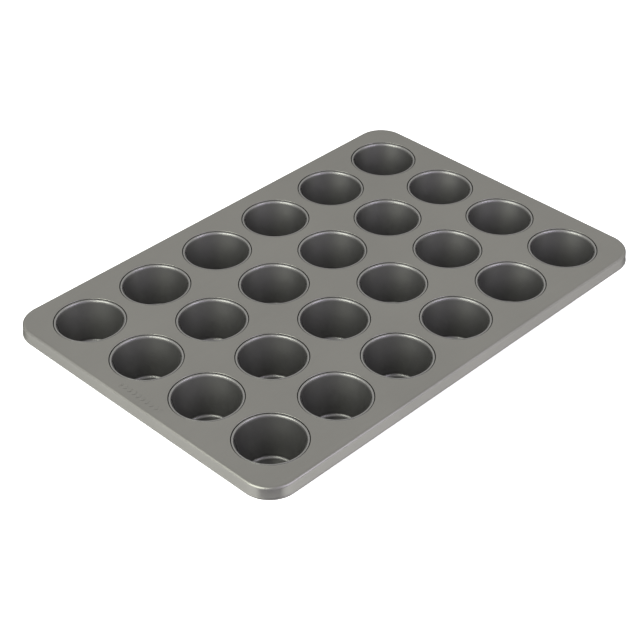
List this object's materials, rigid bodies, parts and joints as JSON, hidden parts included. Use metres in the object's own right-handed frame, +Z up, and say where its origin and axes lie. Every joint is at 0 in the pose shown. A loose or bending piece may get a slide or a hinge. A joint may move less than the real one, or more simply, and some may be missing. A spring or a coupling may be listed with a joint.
{
  "type": "muffin tin",
  "caption": "Commercial muffin tin: flat coated steel frame sheet with a rolled, wired rim and separate drawn round cups crimped into it in a rectangular grid.",
  "frame": {"origin": "centre of the plan, on the plane that the cup floors stand on", "axes": "+X along the long side, +Y along the short side, +Z up, out of the cups' mouths"},
  "size_m": [0.5206, 0.3556, 0.0435],
  "materials": {
    "coated_sheet": "satin dark grey non-stick coating on steel sheet",
    "coated_cup": "satin dark grey non-stick coating on a drawn steel cup",
    "rim_wire": "plain drawn steel wire"
  },
  "bodies": {
    "root": {"frame_sheet": "coated_sheet", "rim_wire": "rim_wire", "cup_r1_c1": "coated_cup", "cup_r1_c2": "coated_cup", "cup_r1_c3": "coated_cup", "cup_r1_c4": "coated_cup", "cup_r1_c5": "coated_cup", "cup_r1_c6": "coated_cup", "cup_r2_c1": "coated_cup", "cup_r2_c2": "coated_cup", "cup_r2_c3": "coated_cup", "cup_r2_c4": "coated_cup", "cup_r2_c5": "coated_cup", "cup_r2_c6": "coated_cup", "cup_r3_c1": "coated_cup", "cup_r3_c2": "coated_cup", "cup_r3_c3": "coated_cup", "cup_r3_c4": "coated_cup", "cup_r3_c5": "coated_cup", "cup_r3_c6": "coated_cup", "cup_r4_c1": "coated_cup", "cup_r4_c2": "coated_cup", "cup_r4_c3": "coated_cup", "cup_r4_c4": "coated_cup", "cup_r4_c5": "coated_cup", "cup_r4_c6": "coated_cup"}
  },
  "joints": []
}
